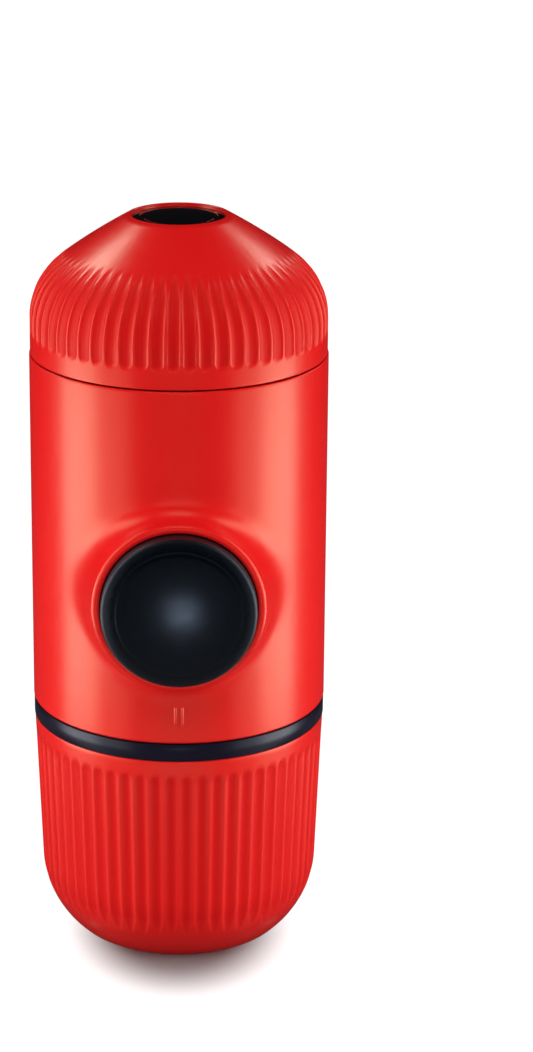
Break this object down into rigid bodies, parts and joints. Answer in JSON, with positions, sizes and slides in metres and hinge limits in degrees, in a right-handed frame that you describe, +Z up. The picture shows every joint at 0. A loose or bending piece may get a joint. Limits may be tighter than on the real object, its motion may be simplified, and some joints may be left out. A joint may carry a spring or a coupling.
{
  "type": "portable espresso maker",
  "caption": "Hand-pumped portable espresso maker: fluted water tank, body with push piston, brewing basket, outlet head and fluted cup.",
  "frame": {"origin": "centre of the flat base, on the axis of the bottle", "axes": "+Z up the axis from tank to cup, -Y to the front where the piston is, +X to the right seen from the front"},
  "size_m": [0.062, 0.071, 0.156],
  "materials": {
    "red_plastic": "satin moulded, bright red",
    "dark_plastic": "satin moulded, blue black",
    "black_plastic": "matte moulded, black",
    "button_plastic": "satin, black",
    "grey_nylon": "glass-filled, fine matte",
    "badge_plastic": "polished, black",
    "steel": "stainless, satin",
    "spring_steel": "drawn wire",
    "silicone": "translucent grey, soft"
  },
  "bodies": {
    "tank": {"tank_shell": "red_plastic", "tank_vessel": "dark_plastic"},
    "tank_seal_ring": {"main_seal": "silicone"},
    "main_body": {"body_shell": "red_plastic", "chassis": "black_plastic", "brew_chamber": "grey_nylon", "chassis_screws": "steel", "shower_screen": "steel", "screen_screw": "steel", "neck_ring": "black_plastic", "guide_sleeve": "black_plastic", "pump_cylinder": "grey_nylon", "rod_guide": "black_plastic", "return_spring": "spring_steel", "valve_block": "grey_nylon", "inlet_seat": "black_plastic", "inlet_spring": "spring_steel", "outlet_spring": "spring_steel", "valve_retainer": "black_plastic", "intake_strainer": "steel", "air_valve": "silicone"},
    "inlet_valve": {"inlet_ball": "steel"},
    "outlet_valve": {"outlet_ball": "steel"},
    "piston_slider": {"piston_seal": "silicone"},
    "piston": {"piston_head": "button_plastic", "piston_rod": "steel"},
    "tamper_scoop": {"scoop": "black_plastic"},
    "basket": {"filter_basket": "black_plastic", "basket_filter": "steel"},
    "head_seal_ring": {"head_gasket": "silicone"},
    "head": {"outlet_head": "black_plastic", "outlet_nozzle": "black_plastic", "pressure_valve_spring": "spring_steel"},
    "crema_valve": {"pressure_valve": "silicone"},
    "cup_seal_ring": {"cup_seal": "silicone"},
    "cup": {"cup_shell": "red_plastic", "cup_liner": "black_plastic", "cup_badge": "badge_plastic"}
  },
  "joints": [
    {"name": "body_lift", "type": "slide", "parent": "tank", "child": "tank_seal_ring", "axis": [0, 0, 1], "range_m": [0, 0.03]},
    {"name": "body_unscrew", "type": "hinge", "parent": "tank_seal_ring", "child": "main_body", "pos_m": [0, 0, 0.0463], "axis": [0, 0, 1], "range_deg": [0, 903.6]},
    {"name": "inlet_ball_lift", "type": "slide", "parent": "main_body", "child": "inlet_valve", "axis": [0, 0, 1], "range_m": [0, 0.0008], "stiffness_N_per_m": 60, "springref_m": -0.002, "deforming": ["inlet_spring"]},
    {"name": "outlet_ball_lift", "type": "slide", "parent": "main_body", "child": "outlet_valve", "axis": [0, 0, 1], "range_m": [0, 0.0008], "stiffness_N_per_m": 60, "springref_m": -0.002, "deforming": ["outlet_spring"]},
    {"name": "piston_stroke", "type": "slide", "parent": "main_body", "child": "piston_slider", "axis": [0, -1, 0], "range_m": [0, 0.02], "deforming": ["return_spring"]},
    {"name": "piston_twist", "type": "hinge", "parent": "piston_slider", "child": "piston", "pos_m": [0, -0.036, 0.083], "axis": [0, -1, 0], "range_deg": [0, 60]},
    {"name": "scoop_lift", "type": "slide", "parent": "main_body", "child": "tamper_scoop", "axis": [0, 0, 1], "range_m": [0, 0.032]},
    {"name": "basket_lift", "type": "slide", "parent": "tamper_scoop", "child": "basket", "axis": [0, 0, 1], "range_m": [0, 0.022]},
    {"name": "head_lift", "type": "slide", "parent": "basket", "child": "head_seal_ring", "axis": [0, 0, 1], "range_m": [0, 0.018]},
    {"name": "head_unscrew", "type": "hinge", "parent": "head_seal_ring", "child": "head", "pos_m": [0, 0, 0.125], "axis": [0, 0, 1], "range_deg": [0, 543.6]},
    {"name": "pressure_valve_lift", "type": "slide", "parent": "head", "child": "crema_valve", "axis": [0, 0, 1], "range_m": [0, 0.0008], "stiffness_N_per_m": 60, "springref_m": -0.002, "deforming": ["pressure_valve_spring"]},
    {"name": "cup_lift", "type": "slide", "parent": "head", "child": "cup_seal_ring", "axis": [0, 0, 1], "range_m": [0, 0.03]},
    {"name": "cup_unscrew", "type": "hinge", "parent": "cup_seal_ring", "child": "cup", "pos_m": [0, 0, 0.1303], "axis": [0, 0, 1], "range_deg": [0, 903.6]}
  ],
  "couplings": [
    {"joint": "body_unscrew", "follows": "body_lift", "rad_per_m": 523.6},
    {"joint": "head_unscrew", "follows": "head_lift", "rad_per_m": 523.6},
    {"joint": "cup_unscrew", "follows": "cup_lift", "rad_per_m": 523.6}
  ]
}
